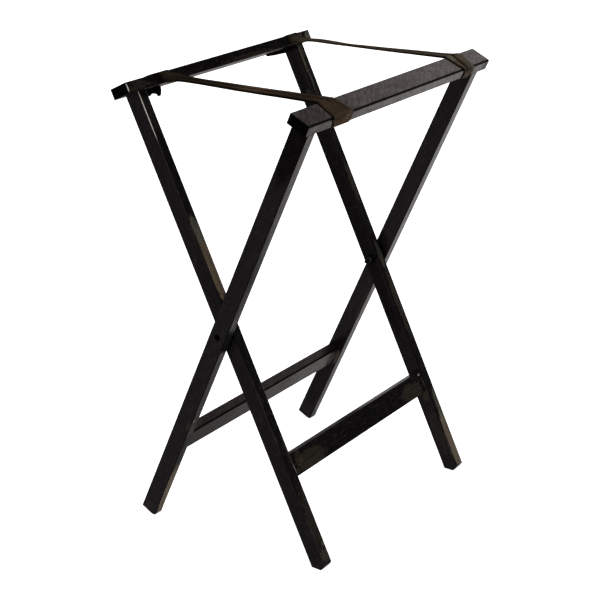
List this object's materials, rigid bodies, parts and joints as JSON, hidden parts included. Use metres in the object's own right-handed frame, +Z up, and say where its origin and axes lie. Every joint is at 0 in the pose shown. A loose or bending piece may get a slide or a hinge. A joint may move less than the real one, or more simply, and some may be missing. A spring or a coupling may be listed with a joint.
{
  "type": "folding tray stand",
  "caption": "Folding wooden tray stand: crossed leg frames turn on pivot bolts, webbing straps between the top rails stop them open and carry a tray.",
  "frame": {"origin": "on the floor, in the middle of the stand's bounding box", "axes": "+X is the way the legs spread, towards the outer frame's top rail; +Y runs along the rails, towards the end where that rail overhangs; +Z is up"},
  "size_m": [0.4056, 0.5205, 0.7924],
  "materials": {
    "painted_wood": "black satin paint on wood, worn",
    "bare_wood": "bare",
    "webbing": "woven, dark brown",
    "pivot_steel": "blackened steel",
    "spacer_plastic": "black",
    "tack_steel": "blackened"
  },
  "bodies": {
    "outer_frame": {"outer_leg_near": "painted_wood", "outer_leg_far": "painted_wood", "outer_top_rail": "painted_wood", "outer_stretcher": "painted_wood", "outer_rail_dowels_near": "bare_wood", "outer_rail_dowels_far": "bare_wood", "outer_stretcher_dowels_near": "bare_wood", "outer_stretcher_dowels_far": "bare_wood", "pivot_bolt_near": "pivot_steel", "pivot_bolt_far": "pivot_steel", "pivot_spacer_near": "spacer_plastic", "pivot_spacer_far": "spacer_plastic", "pivot_washer_near": "pivot_steel", "pivot_washer_far": "pivot_steel", "pivot_nut_near": "pivot_steel", "pivot_nut_far": "pivot_steel", "near_strap": "webbing", "far_strap": "webbing", "near_strap_front_tack": "tack_steel", "near_strap_under_tacks": "tack_steel", "far_strap_under_tacks": "tack_steel"},
    "inner_frame": {"inner_leg_near": "painted_wood", "inner_leg_far": "painted_wood", "inner_top_rail": "painted_wood", "inner_stretcher": "painted_wood", "inner_rail_dowels_near": "bare_wood", "inner_rail_dowels_far": "bare_wood", "inner_stretcher_dowels_near": "bare_wood", "inner_stretcher_dowels_far": "bare_wood", "near_strap_inner_tacks": "tack_steel", "far_strap_inner_tacks": "tack_steel"}
  },
  "joints": [
    {"name": "fold", "type": "hinge", "parent": "outer_frame", "child": "inner_frame", "pos_m": [0, -0.0125, 0.387], "axis": [0, 1, 0], "range_deg": [0, 42.5], "deforming": ["near_strap", "far_strap"]}
  ]
}
